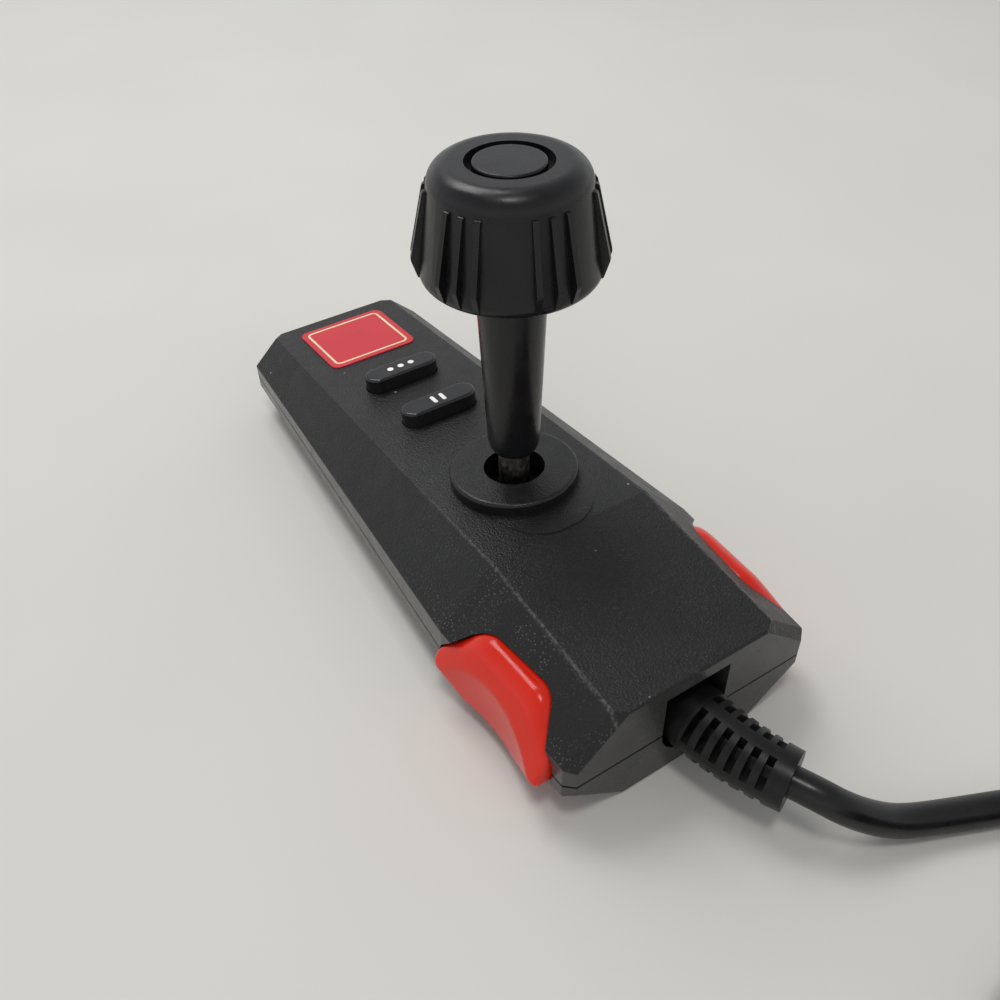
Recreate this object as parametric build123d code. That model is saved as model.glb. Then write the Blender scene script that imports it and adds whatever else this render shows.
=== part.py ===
from build123d import *
import math
import os
from collections import namedtuple

# Slim hand-held joystick controller, in millimetres.
# The origin is on the flat bottom under the stick's axis, +Z is up and +Y runs to the cable end.

# Housing: far end, widest section and cable end
FAR_Y = -71.4
WIDE_Y = 16.0
NEAR_Y = 46.8
SEAM_Z = 9.1
LIP_Z = 6.5
WALL = 2.0
CORNER = 1.4
SEAM_GROOVE = 0.25
SEAM_GROOVE_DEPTH = 0.6
EDGE_ROUND = 0.5

Section = namedtuple("Section", "seam_half band_z deck_half deck_z foot_half")
FAR = Section(seam_half=18.8, band_z=11.5, deck_half=13.55, deck_z=16.25, foot_half=13.0)
WIDE = Section(seam_half=24.2, band_z=14.0, deck_half=14.7, deck_z=23.1, foot_half=15.0)
NEAR = Section(seam_half=22.3, band_z=12.9, deck_half=14.3, deck_z=20.0, foot_half=14.1)

# Fits
RUNNING = 0.05
SLIDING = 0.15
GAP = 0.3
BEYOND = 100.0
OVERCUT = 1.0

# Stick, turning about a two-axis pivot under the deck
PIVOT_Z = 16.5
CORE_R = 2.55
CORE_TOP_Z = 64.0
SLEEVE_END_Z = 25.2
SLEEVE_END_R = 2.95
SLEEVE_ROUND_Z = 28.7
SLEEVE_ROUND_R = 3.77
SLEEVE_LOW_Z = 33.0
SLEEVE_LOW_R = 4.25
SLEEVE_HIGH_Z = 60.0
SLEEVE_HIGH_R = 5.35
SLEEVE_TOP_Z = 66.0

# Knob
KNOB_BASE_Z = 59.6
KNOB_TOP_Z = 76.1
KNOB_BASE_R = 13.2
KNOB_TOP_R = 10.8
KNOB_TOP_FILLET = 3.0
KNOB_RIM_FILLET = 1.6
KNOB_WALL = 2.2
KNOB_HUB_R = 7.4
KNOB_HOLLOW = 9.0
CAP_R = 5.05
CAP_GROOVE = 1.0
CAP_THICKNESS = 1.5
CAP_PLUG_R = 2.4
CAP_PLUG_LENGTH = 5.0
CAP_FILLET = 0.3
FIN_GROUPS = 6
FINS_PER_GROUP = 3
FIN_STEP = 12.0
FIN_TURN = -5.6
FIN_THICKNESS = 0.8
FIN_SINK = 0.8
FIN_LOW_Z = 60.6
FIN_LOW_R = 13.1
FIN_WIDE_Z = 63.4
FIN_WIDE_R = 13.95
FIN_TOP_Z = 73.0
FIN_TOP_R = 11.7
FIN_TOP_FILLET = 0.5

# Collar round the stick and the step in the deck before it
COLLAR_R = 10.66
COLLAR_HEIGHT = 2.3
COLLAR_BORE_R = 5.05
COLLAR_SPIGOT_R = 8.0
COLLAR_FILLET = 0.6
PAD_R = 8.5
PAD_Y = 7.6
PAD_HEIGHT = 0.25
PAD_STOP = 0.1

# Pivot ring, cradle, pins and actuator
RING_INNER_R = 4.6
RING_OUTER_R = 6.6
RING_HEIGHT = 3.2
PIN_R = 0.8
TRUNNION_REACH = 9.0
EAR_GAP = 1.0
EAR_THICKNESS = 1.8
EAR_HALF_WIDTH = 2.5
EAR_BELOW_PIVOT = 1.6
CRADLE_TOP_Z = 18.6
CRADLE_THICKNESS = 1.5
CRADLE_HALF_X = 13.0
CRADLE_HALF_Y = 12.0
CRADLE_HOLE_R = 7.6
CRADLE_SCREW_X = 10.5
CRADLE_SCREW_Y = 9.5
ACTUATOR_R = 9.0
ACTUATOR_Z = 11.4
ACTUATOR_THICKNESS = 1.2
ACTUATOR_HUB_R = 4.0
ACTUATOR_HUB_HEIGHT = 2.4
STICK_NUT_R = 3.4
STICK_NUT_HEIGHT = 0.7

# Menu buttons in the deck
MENU_BUTTONS = {"select_button": -39.3, "pause_button": -24.85}
MENU_LENGTH = 14.8
MENU_WIDTH = 4.8
MENU_HEIGHT = 2.8
MENU_FILLET = 0.5
MENU_FLANGE = 1.0
MENU_LIP = 1.0
MENU_TRAVEL = 0.8
MENU_STEM_R = 1.8

# Label plate
LABEL_WIDTH = 18.4
LABEL_LENGTH = 17.4
LABEL_Y = -59.0
LABEL_RADIUS = 1.75
LABEL_THICKNESS = 0.6
LABEL_SINK = 0.4

# Side buttons
FIRE_FAR_Y = 14.8
FIRE_NEAR_Y = 42.9
FIRE_TOP_FAR_Y = 22.6
FIRE_TOP_NEAR_Y = 36.6
FIRE_TOP_Z = 17.6
FIRE_BOTTOM_Z = 3.6
FIRE_NEAR_HALF = 2.3
FIRE_PROUD = 2.2
FIRE_OVERRUN = 6.0
FIRE_DISH_R = 42.0
FIRE_DISH_Y = 31.5
FIRE_DISH_DEPTH = 1.4
FIRE_DISH_LEAN = 14.0
FIRE_FLANGE = 1.0
FIRE_REAR_X = 15.2
FIRE_CORNERS = [2.5, 4.0, 3.0, 3.0, 3.5, 5.0, 6.0]
FIRE_FILLET = 1.5
FIRE_TRAVEL = 1.0
FIRE_PLUNGER_R = 2.2

# Circuit board and its switches
BOARD_TOP_Z = 6.6
BOARD_THICKNESS = 1.6
BOARD_FAR_Y = -60.0
BOARD_NEAR_Y = 31.0
BOARD_FAR_HALF = 13.0
BOARD_NEAR_HALF = 14.5
SWITCH_SIZE = 6.0
SWITCH_BODY_HEIGHT = 2.4
SWITCH_PLUNGER_R = 1.6
SWITCH_HEIGHT = 3.2
SWITCH_RADIUS = 7.5
TRAVEL_MARGIN = 0.1
FIRE_SWITCH_DEPTH = 3.4
FIRE_SWITCH_HEIGHT = 5.0
CONNECTOR_WIDTH = 13.0
CONNECTOR_DEPTH = 5.0
CONNECTOR_HEIGHT = 4.2
CONNECTOR_Y = 23.0

# Screws and bosses
SCREW_R = 1.0
SCREW_HEAD_R = 1.9
SCREW_HEAD_HEIGHT = 1.4
BOSS_R = 3.0
HOUSING_SCREWS = ((9.5, -65.0), (11.0, -15.5), (11.0, 42.0))
HOUSING_SCREW_LENGTH = 12.0
HOUSING_SCREW_SINK = 3.0
POST_R = 2.2
BOARD_SCREWS = ((9.5, -54.0), (11.0, 18.0))
SHORT_SCREW_LENGTH = 3.6
CLAMP_SCREW_LENGTH = 5.6

# Cord, strain relief and clamp
CORD_D = 4.8
RELIEF_START_Y = 42.0
RELIEF_LENGTH = 20.9
RELIEF_BEND = 24.0
RELIEF_BASE_R = 5.25
RELIEF_MOUTH_R = 4.6
RELIEF_END_R = 4.55
RELIEF_BASE_LENGTH = 6.0
RELIEF_SLOTS = 6
RELIEF_PITCH = 2.15
RELIEF_SLOT = 1.15
RELIEF_WEB = 2.0
RELIEF_NECK_R = 3.8
RELIEF_FLANGE = 1.6
POCKET_HALF = 5.8
POCKET_DEPTH = 5.0
POCKET_TOP_Z = 17.5
CLAMP_Y = 35.0
CLAMP_WIDTH = 4.0
CLAMP_HALF = 7.0
CLAMP_HEIGHT = 3.6
CLAMP_SCREW_X = 4.8
CORD_END_Y = 31.4
WIRE_COUNT = 6
WIRE_R = 0.33
WIRE_HOLE_R = 0.9
WIRE_DEPTH = 1.0
WIRE_PITCH = 0.76
WIRE_FAN = 2.0

# Free cord: the route from the strain relief to the coil, and from the coil to the plug
LEAD_EXIT = 3.4
LEAD_ENTRY = 12.0
LEAD_POINTS = [
    (-7.7, 68.0, 6.9),
    (-10.8, 70.1, 4.4),
    (-15.2, 72.4, 2.6),
    (-22.5, 75.9, 2.42),
    (-34.0, 81.0, 2.42),
    (-41.5, 86.5, 2.42),
    (-46.3, 95.5, 2.6),
]
TAIL_EXIT = 9.0
TAIL_ENTRY = 14.0
TAIL_POINTS = [
    (5.5, 175.7, 10.3),
    (17.6, 167.7, 13.4),
    (20.4, 153.4, 17.0),
]

# Coil
COIL_X = -16.0
COIL_Y = 135.0
COIL_TURNS = 4
COIL_OUTER_R = 37.0
COIL_PITCH = 5.4
COIL_LAYER = 5.35
COIL_START = 190.0
COIL_END_ARC = 90.0
TIE_THICKNESS = 0.8
TIE_WIDTH = 6.0
TIE_ANGLE = 280.0

# Plug
PLUG_X = -1.3
PLUG_Y = 138.6
PLUG_HEADING = 191.5
PLUG_WIDTH = 31.0
PLUG_HEIGHT = 15.4
PLUG_LENGTH = 30.0
PLUG_NECK_R = 4.6
PLUG_NECK_LENGTH = 8.0
PLUG_FILLET = 2.0
FACE_WIDTH = 16.6
FACE_HEIGHT = 8.2
FACE_LENGTH = 6.0
FACE_SINK = 4.0
FACE_SLANT = 1.4
FACE_CORNER = 2.0
CONTACT_PITCH = 2.77
CONTACT_ROW = 2.84
CONTACT_R = 0.9
CONTACT_BORE_R = 0.55
CONTACT_LENGTH = 5.5

# Derived sizes
CORD_R = CORD_D / 2
CORD_REST_Z = CORD_R + 0.02
COIL_REST_Z = CORD_REST_Z + TIE_THICKNESS + SLIDING
PAD_END_Y = WIDE_Y - PAD_STOP
PLUG_REST_Z = COIL_REST_Z + COIL_LAYER + CORD_R + TIE_THICKNESS + 2 * SLIDING
FIRE_FLANGE_X = HOUSING_SCREWS[-1][0] + BOSS_R + FIRE_TRAVEL + GAP
DECK_SLOPE = (WIDE.deck_z - FAR.deck_z) / (WIDE_Y - FAR_Y)
BOARD_Z = BOARD_TOP_Z - BOARD_THICKNESS
SWITCH_TOP_Z = BOARD_TOP_Z + SWITCH_HEIGHT
RELIEF_R = RELIEF_LENGTH / math.radians(RELIEF_BEND)
KNOB_SLOPE = (KNOB_BASE_R - KNOB_TOP_R) / (KNOB_TOP_Z - KNOB_BASE_Z)


def station(y):
    """Housing sizes at y, straight between the three sections."""
    first, last = (FAR, WIDE) if y < WIDE_Y else (WIDE, NEAR)
    start, end = (FAR_Y, WIDE_Y) if y < WIDE_Y else (WIDE_Y, NEAR_Y)
    share = (y - start) / (end - start)
    return Section(*(a + share * (b - a) for a, b in zip(first, last)))


def inset(points, depths):
    """Move each side of a closed counter-clockwise outline inwards by its own depth."""
    lines = []
    for (x, z), (next_x, next_z), depth in zip(points, points[1:] + points[:1], depths):
        length = math.hypot(next_x - x, next_z - z)
        normal_x = (z - next_z) / length
        normal_z = (next_x - x) / length
        lines.append((normal_x, normal_z, normal_x * x + normal_z * z + depth))
    moved = []
    for (a, b, c), (d, e, g) in zip(lines[-1:] + lines[:-1], lines):
        det = a * e - b * d
        moved.append(((c * e - b * g) / det, (a * g - c * d) / det))
    return moved


def section_face(y, depth, facet):
    """Eight-sided section of the housing at y."""
    return sized_face(y, station(y), depth, facet)


def sized_face(y, size, depth, facet):
    """Section of the given sizes, moved in by depth, and its slanting and upright sides by facet too."""
    right = [
        (size.foot_half, 0.0),
        (size.seam_half, LIP_Z),
        (size.seam_half, size.band_z),
        (size.deck_half, size.deck_z),
    ]
    left = [(-x, z) for x, z in reversed(right)]
    side = depth + facet
    depths = [side, side, side, depth, side, side, side, depth]
    points = inset(right + left, depths)
    return Face(Wire.make_polygon([Vector(x, y, z) for x, z in points], close=True))


def housing_form(depth=0.0):
    """Closed form of the whole housing, each face moved inwards by depth."""
    far = FAR_Y + depth
    near = NEAR_Y - depth
    stops = [
        (far, CORNER),
        (far + CORNER, 0.0),
        (WIDE_Y, 0.0),
        (near - CORNER, 0.0),
        (near, CORNER),
    ]
    return loft([section_face(y, depth, facet) for y, facet in stops], ruled=True)


def housing_outside():
    """The housing's form with its moulded edges rounded."""
    form = housing_form()
    return fillet(form.edges(), EDGE_ROUND)


def deck_height(y):
    """Height of the deck's long slope at y."""
    return FAR.deck_z + DECK_SLOPE * (y - FAR_Y)


def deck_plane(y, lift=0.0):
    """Plane lying on the deck's long slope at y, raised by lift."""
    normal = Vector(0, -DECK_SLOPE, 1).normalized()
    origin = Vector(0, y, deck_height(y)) + normal * lift
    return Plane(origin=origin, x_dir=(1, 0, 0), z_dir=normal)


def upper(shape):
    return split(shape, bisect_by=Plane.XY.offset(SEAM_Z), keep=Keep.TOP)


def lower(shape):
    return split(shape, bisect_by=Plane.XY.offset(SEAM_Z), keep=Keep.BOTTOM)


def pillar(x, y, bottom, top, radius):
    """Upright cylinder between two heights."""
    return Pos(x, y, bottom) * Cylinder(radius, top - bottom, align=BASE)


def block(x, y, bottom, top, half_x, half_y):
    """Upright block between two heights."""
    return Pos(x, y, bottom) * Box(2 * half_x, 2 * half_y, top - bottom, align=BASE)


BASE = (Align.CENTER, Align.CENTER, Align.MIN)


def both_sides(places):
    """The places and their mirror images across the middle plane."""
    return [(side * x, y) for x, y in places for side in (1, -1)]


def cradle_screw_places():
    return both_sides([(CRADLE_SCREW_X, CRADLE_SCREW_Y), (CRADLE_SCREW_X, -CRADLE_SCREW_Y)])


def union(shapes):
    """One shape from many."""
    shapes = list(shapes)
    return shapes[0].fuse(*shapes[1:]) if len(shapes) > 1 else shapes[0]


def fire_outline(grow=0.0):
    """Side outline of the right-hand button: a nose towards the far end and a blunt cable end."""
    drop = (SEAM_Z - FIRE_BOTTOM_Z) / (FIRE_TOP_Z - SEAM_Z)
    low_far = FIRE_FAR_Y + (FIRE_TOP_FAR_Y - FIRE_FAR_Y) * drop
    low_near = FIRE_NEAR_Y - (FIRE_NEAR_Y - FIRE_TOP_NEAR_Y) * drop
    points = [
        (FIRE_FAR_Y, SEAM_Z),
        (low_far, FIRE_BOTTOM_Z),
        (low_near, FIRE_BOTTOM_Z),
        (FIRE_NEAR_Y, SEAM_Z - FIRE_NEAR_HALF),
        (FIRE_NEAR_Y, SEAM_Z + FIRE_NEAR_HALF),
        (FIRE_TOP_NEAR_Y, FIRE_TOP_Z),
        (FIRE_TOP_FAR_Y, FIRE_TOP_Z),
    ]
    outline = make_face(FilletPolyline(*points, radius=FIRE_CORNERS, close=True))
    return offset(outline, grow) if grow else outline


def fire_prism(grow=0.0, start=FIRE_REAR_X):
    """The side outline run outwards from behind the wall."""
    return extrude(Plane.YZ.offset(start) * fire_outline(grow), amount=BEYOND)


def fire_openings():
    opening = fire_prism(GAP, FIRE_REAR_X - GAP)
    return [opening, mirror(opening, about=Plane.YZ)]


def side_form(depth):
    """The housing's form over the side buttons, carried on straight past the widest section."""
    far_y = WIDE_Y - FIRE_OVERRUN
    share = FIRE_OVERRUN / (NEAR_Y - WIDE_Y)
    far_size = Section(*(wide + share * (wide - near) for wide, near in zip(WIDE, NEAR)))
    faces = [sized_face(far_y, far_size, depth, 0.0), section_face(NEAR_Y, depth, 0.0)]
    return loft(faces, ruled=True)


def fire_dish():
    """Leaning cylinder that hollows the button's outer face for a finger."""
    crest = station(FIRE_DISH_Y).seam_half + FIRE_PROUD - FIRE_DISH_DEPTH
    lean = (math.tan(math.radians(FIRE_DISH_LEAN)), 0, 1)
    axis = Plane(origin=(crest, FIRE_DISH_Y, SEAM_Z), x_dir=(1, 0, -lean[0]), z_dir=lean)
    return axis * Pos(FIRE_DISH_R, 0, -BEYOND / 2) * Cylinder(FIRE_DISH_R, BEYOND, align=BASE)


def fire_button():
    """Right-hand button: a dished cap, its retaining flange and the plunger behind it."""
    hollow = housing_form(WALL + SLIDING + FIRE_FLANGE)
    cap = round_cap(fire_prism() & side_form(-FIRE_PROUD)) - fire_dish()
    flange = fire_prism(GAP + FIRE_FLANGE, FIRE_FLANGE_X) & housing_form(WALL + SLIDING)
    button = (cap + flange) - hollow
    middle = (FIRE_FAR_Y + FIRE_NEAR_Y) / 2
    tip = FIRE_REAR_X + FIRE_TRAVEL + TRAVEL_MARGIN
    reach = station(middle).seam_half - WALL - tip
    plunger = Plane(origin=(tip, middle, SEAM_Z), z_dir=(1, 0, 0)) * Cylinder(
        FIRE_PLUNGER_R, reach, align=BASE
    )
    return button + plunger


def round_cap(cap):
    """Round the edges of the cap's outer faces."""
    flank = FIRE_REAR_X + GAP
    outer = [edge for edge in cap.edges() if edge.bounding_box().min.X > flank]
    return fillet(outer, FIRE_FILLET)


def housing_screw_places():
    return both_sides(HOUSING_SCREWS)


def relief_pocket():
    """Recess in the cable end that the strain relief stands in."""
    back = NEAR_Y - POCKET_DEPTH
    middle = (back + NEAR_Y + BEYOND) / 2
    high = block(0, middle, SEAM_Z, POCKET_TOP_Z, POCKET_HALF, middle - back)
    low = Plane(origin=(0, back, SEAM_Z), z_dir=(0, 1, 0)) * Cylinder(
        POCKET_HALF, BEYOND, align=BASE
    )
    return high + low


def pocket_walls():
    """Solid block round the recess and the relief's neck."""
    back = NEAR_Y - POCKET_DEPTH - WALL
    middle = (back + NEAR_Y) / 2
    return block(0, middle, 0, POCKET_TOP_Z + BEYOND, POCKET_HALF + WALL, middle - back)


def neck_hole():
    """Hole through the pocket's back wall only."""
    start = NEAR_Y - POCKET_DEPTH - WALL - OVERCUT
    return Plane(origin=(0, start, SEAM_Z), z_dir=(0, 1, 0)) * Cylinder(
        RELIEF_NECK_R, WALL + 2 * OVERCUT, align=BASE
    )


def seam_groove():
    """Shadow groove round the joint line."""
    slab = block(0, 0, SEAM_Z - SEAM_GROOVE / 2, SEAM_Z + SEAM_GROOVE / 2, BEYOND, BEYOND)
    return slab - housing_form(SEAM_GROOVE_DEPTH)


def menu_hole(y):
    length = MENU_LENGTH + 2 * SLIDING
    width = MENU_WIDTH + 2 * SLIDING
    outline = deck_plane(y, -2 * WALL) * SlotOverall(length, width)
    return extrude(outline, amount=4 * WALL)


def label_recess():
    outline = RectangleRounded(
        LABEL_WIDTH + 2 * RUNNING, LABEL_LENGTH + 2 * RUNNING, LABEL_RADIUS + RUNNING
    )
    return extrude(deck_plane(LABEL_Y, -LABEL_SINK) * outline, amount=2 * LABEL_SINK)


def collar_pad():
    """Low round step in the deck before the collar, ending at the crease."""
    disc = deck_plane(PAD_Y, -WALL / 2) * Cylinder(PAD_R, WALL / 2 + PAD_HEIGHT, align=BASE)
    keep = block(0, PAD_END_Y - BEYOND, 0, BEYOND, BEYOND, BEYOND)
    return disc & keep


def top_housing():
    """Upper shell with its bosses, openings and the recess for the strain relief."""
    inner = housing_form(WALL / 2)
    posts = [pillar(x, y, SEAM_Z, BEYOND, BOSS_R) for x, y in housing_screw_places()]
    posts += [pillar(x, y, CRADLE_TOP_Z, BEYOND, POST_R) for x, y in cradle_screw_places()]
    posts.append(pocket_walls())
    ribs = union([post & inner for post in posts])
    outside = housing_outside()
    shell = outside - housing_form(WALL) + ribs + (pocket_walls() & outside)
    shell += collar_pad()
    cuts = fire_openings()
    cuts += [pillar(x, y, 0, HOUSING_SCREW_SINK + HOUSING_SCREW_LENGTH, SCREW_R)
             for x, y in housing_screw_places()]
    cuts += [pillar(x, y, 0, CRADLE_TOP_Z + SHORT_SCREW_LENGTH - CRADLE_THICKNESS, SCREW_R)
             for x, y in cradle_screw_places()]
    cuts += [menu_hole(y) for y in MENU_BUTTONS.values()]
    cuts.append(deck_plane(0, -2 * WALL) * Cylinder(COLLAR_SPIGOT_R + RUNNING, 4 * WALL, align=BASE))
    cuts += [label_recess(), relief_pocket(), neck_hole(), seam_groove()]
    return upper(shell.cut(*cuts))


def bottom_housing():
    """Lower shell with screw bosses, board posts and the saddle for the cord."""
    inner = housing_form(WALL / 2)
    posts = [pillar(x, y, 0, SEAM_Z, BOSS_R) for x, y in housing_screw_places()]
    posts += [pillar(x, y, 0, BOARD_Z, POST_R) for x, y in both_sides(BOARD_SCREWS)]
    posts.append(block(0, CLAMP_Y, 0, SEAM_Z, CLAMP_HALF, CLAMP_WIDTH / 2))
    ribs = union([post & inner for post in posts])
    outside = housing_outside()
    shell = outside - housing_form(WALL) + ribs + (pocket_walls() & outside)
    cuts = fire_openings()
    for x, y in housing_screw_places():
        cuts.append(pillar(x, y, 0, SEAM_Z, SCREW_R))
        cuts.append(pillar(x, y, 0, HOUSING_SCREW_SINK, SCREW_HEAD_R + SLIDING))
    for x, y in both_sides(BOARD_SCREWS):
        cuts.append(pillar(x, y, BOARD_Z + BOARD_THICKNESS - SHORT_SCREW_LENGTH, SEAM_Z, SCREW_R))
    for x, y in both_sides([(CLAMP_SCREW_X, CLAMP_Y)]):
        cuts.append(pillar(x, y, SEAM_Z + CLAMP_HEIGHT - SHORT_SCREW_LENGTH - 2, SEAM_Z, SCREW_R))
    cuts += [relief_pocket(), neck_hole(), seam_groove(), cord_inner()]
    return lower(shell.cut(*cuts))


def label_plate():
    outline = RectangleRounded(LABEL_WIDTH, LABEL_LENGTH, LABEL_RADIUS)
    return extrude(deck_plane(LABEL_Y, -LABEL_SINK) * outline, amount=LABEL_THICKNESS)


def collar():
    """Raised ring on the deck with a spigot in the deck's hole."""
    flange = deck_plane(0) * Cylinder(COLLAR_R, COLLAR_HEIGHT, align=BASE)
    rim = flange.edges().filter_by(GeomType.CIRCLE).sort_by(Axis.Z)[-1]
    flange = fillet([rim], COLLAR_FILLET)
    spigot = deck_plane(0, -WALL) * Cylinder(COLLAR_SPIGOT_R, WALL, align=BASE)
    step = collar_pad()
    return flange + spigot - pillar(0, 0, 0, BEYOND, COLLAR_BORE_R) - step


def stick_cradle():
    """Plate under the deck with two ears that carry the pivot ring."""
    bottom = CRADLE_TOP_Z - CRADLE_THICKNESS
    plate = block(0, 0, bottom, CRADLE_TOP_Z, CRADLE_HALF_X, CRADLE_HALF_Y)
    ear_x = RING_OUTER_R + EAR_GAP + EAR_THICKNESS / 2
    ears = [block(side * ear_x, 0, PIVOT_Z - EAR_BELOW_PIVOT, CRADLE_TOP_Z,
                  EAR_THICKNESS / 2, EAR_HALF_WIDTH) for side in (1, -1)]
    plate -= pillar(0, 0, 0, BEYOND, CRADLE_HOLE_R)
    cradle = union([plate] + ears)
    holes = [pillar(x, y, 0, BEYOND, SCREW_R + RUNNING) for x, y in cradle_screw_places()]
    holes.append(Pos(0, 0, PIVOT_Z) * Rot(0, 90, 0) * Cylinder(PIN_R + RUNNING, BEYOND))
    return cradle.cut(*holes)


def pivot_ring():
    """Ring with two trunnions along X and bores for the stick's pin along Y."""
    ring = Pos(0, 0, PIVOT_Z) * Cylinder(RING_OUTER_R, RING_HEIGHT)
    trunnions = Pos(0, 0, PIVOT_Z) * Rot(0, 90, 0) * Cylinder(PIN_R, 2 * TRUNNION_REACH)
    bore = Pos(0, 0, PIVOT_Z) * Cylinder(RING_INNER_R, RING_HEIGHT)
    pin = Pos(0, 0, PIVOT_Z) * Rot(90, 0, 0) * Cylinder(PIN_R + RUNNING, 2 * TRUNNION_REACH)
    return ring + trunnions - bore - pin


def stick_pin():
    return Pos(0, 0, PIVOT_Z) * Rot(90, 0, 0) * Cylinder(PIN_R, 2 * (RING_OUTER_R - RUNNING))


def stick_core():
    """Metal shaft from the actuator to inside the knob."""
    return pillar(0, 0, ACTUATOR_Z, CORE_TOP_Z, CORE_R) - stick_pin()


def sleeve_profile():
    """Half section of the sleeve, with its bullet-shaped lower end."""
    end = (SLEEVE_END_R, SLEEVE_END_Z)
    low = (SLEEVE_LOW_R, SLEEVE_LOW_Z)
    return Curve() + [
        ThreePointArc(end, (SLEEVE_ROUND_R, SLEEVE_ROUND_Z), low),
        Polyline(
            low,
            (SLEEVE_HIGH_R, SLEEVE_HIGH_Z),
            (SLEEVE_HIGH_R, SLEEVE_TOP_Z),
            (0, SLEEVE_TOP_Z),
            (0, SLEEVE_END_Z),
            end,
        ),
    ]


def stick_sleeve():
    body = revolve(Plane.XZ * make_face(sleeve_profile()), Axis.Z)
    return body - pillar(0, 0, 0, CORE_TOP_Z, CORE_R)


def knob_radius(z):
    """Radius of the knob's tapered flank."""
    return KNOB_BASE_R - KNOB_SLOPE * (z - KNOB_BASE_Z)


def knob_fin():
    """One thin fin in the XZ plane, following the flank and standing out of it."""
    points = [
        (knob_radius(FIN_LOW_Z) - FIN_SINK, FIN_LOW_Z),
        (FIN_LOW_R, FIN_LOW_Z),
        (FIN_WIDE_R, FIN_WIDE_Z),
        (FIN_TOP_R, FIN_TOP_Z),
        (knob_radius(FIN_TOP_Z) - FIN_SINK, FIN_TOP_Z),
    ]
    outline = FilletPolyline(*points, radius=[0, 0.4, 1.0, FIN_TOP_FILLET, 0], close=True)
    return extrude(Plane.XZ * make_face(outline), amount=FIN_THICKNESS / 2, both=True)


def knob_fins():
    """Fins in even groups round the knob."""
    fin = knob_fin()
    fins = []
    for group in range(FIN_GROUPS):
        for place in range(FINS_PER_GROUP):
            turn = (place - (FINS_PER_GROUP - 1) / 2) * FIN_STEP
            angle = 90 + FIN_TURN + 360 / FIN_GROUPS * group + turn
            fins.append(Rot(0, 0, angle) * fin)
    return fins


def knob():
    """Tapered knob with a hub, a hollow underside, a groove in its top and fins."""
    body = Pos(0, 0, KNOB_BASE_Z) * Cone(KNOB_BASE_R, KNOB_TOP_R, KNOB_TOP_Z - KNOB_BASE_Z, align=BASE)
    rims = body.edges().filter_by(GeomType.CIRCLE).sort_by(Axis.Z)
    body = fillet([rims[-1]], KNOB_TOP_FILLET)
    rims = body.edges().filter_by(GeomType.CIRCLE).sort_by(Axis.Z)
    body = fillet([rims[0]], KNOB_RIM_FILLET)
    body = body.fuse(*knob_fins())
    hollow_top = KNOB_BASE_Z + KNOB_HOLLOW
    hollow = Pos(0, 0, KNOB_BASE_Z) * Cone(
        KNOB_BASE_R - KNOB_WALL, knob_radius(hollow_top) - KNOB_WALL, KNOB_HOLLOW, align=BASE
    )
    hollow -= pillar(0, 0, 0, BEYOND, KNOB_HUB_R)
    socket = pillar(0, 0, 0, SLEEVE_TOP_Z, SLEEVE_HIGH_R)
    recess = pillar(0, 0, KNOB_TOP_Z - CAP_THICKNESS, BEYOND, CAP_R + CAP_GROOVE)
    plug = pillar(0, 0, KNOB_TOP_Z - CAP_THICKNESS - CAP_PLUG_LENGTH, BEYOND, CAP_PLUG_R)
    return body.cut(hollow, socket, recess, plug)


def knob_cap():
    """Disc in the knob's top, held by a plug."""
    disc = pillar(0, 0, KNOB_TOP_Z - CAP_THICKNESS, KNOB_TOP_Z, CAP_R)
    rim = disc.edges().filter_by(GeomType.CIRCLE).sort_by(Axis.Z)[-1]
    disc = fillet([rim], CAP_FILLET)
    bottom = KNOB_TOP_Z - CAP_THICKNESS - CAP_PLUG_LENGTH
    return disc + pillar(0, 0, bottom, KNOB_TOP_Z - CAP_THICKNESS, CAP_PLUG_R)


def stick_actuator():
    """Disc on the shaft's foot that presses the switches under it."""
    disc = pillar(0, 0, ACTUATOR_Z, ACTUATOR_Z + ACTUATOR_THICKNESS, ACTUATOR_R)
    hub = pillar(0, 0, ACTUATOR_Z, ACTUATOR_Z + ACTUATOR_HUB_HEIGHT, ACTUATOR_HUB_R)
    return disc + hub - pillar(0, 0, 0, BEYOND, CORE_R)


def stick_nut():
    return pillar(0, 0, ACTUATOR_Z - STICK_NUT_HEIGHT, ACTUATOR_Z, STICK_NUT_R)


def menu_button(y):
    """Long rounded button with a retaining flange and a stem to its switch."""
    under = -WALL - SLIDING
    outline = SlotOverall(MENU_LENGTH, MENU_WIDTH)
    cap = extrude(deck_plane(y, under) * outline, amount=MENU_HEIGHT - under)
    top = cap.faces().sort_by(Axis.Z)[-1]
    cap = fillet(top.edges(), MENU_FILLET)
    flange_outline = SlotOverall(MENU_LENGTH + 2 * MENU_LIP, MENU_WIDTH + 2 * MENU_LIP)
    flange = extrude(deck_plane(y, under - MENU_FLANGE) * flange_outline, amount=MENU_FLANGE)
    return cap + flange + menu_stem(y)


def menu_axis(y):
    """Distance along the button's axis from the deck to its switch's plunger."""
    return (deck_height(y) - SWITCH_TOP_Z) * math.sqrt(1 + DECK_SLOPE**2)


def menu_stem(y):
    tip = -menu_axis(y) + MENU_TRAVEL + TRAVEL_MARGIN + SWITCH_PLUNGER_R * DECK_SLOPE
    return deck_plane(y, tip) * Cylinder(MENU_STEM_R, -WALL - tip, align=BASE)


def menu_switch_y(y):
    """Where the button's axis meets the height of the switch's plunger."""
    return y + DECK_SLOPE * (deck_height(y) - SWITCH_TOP_Z)


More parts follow.
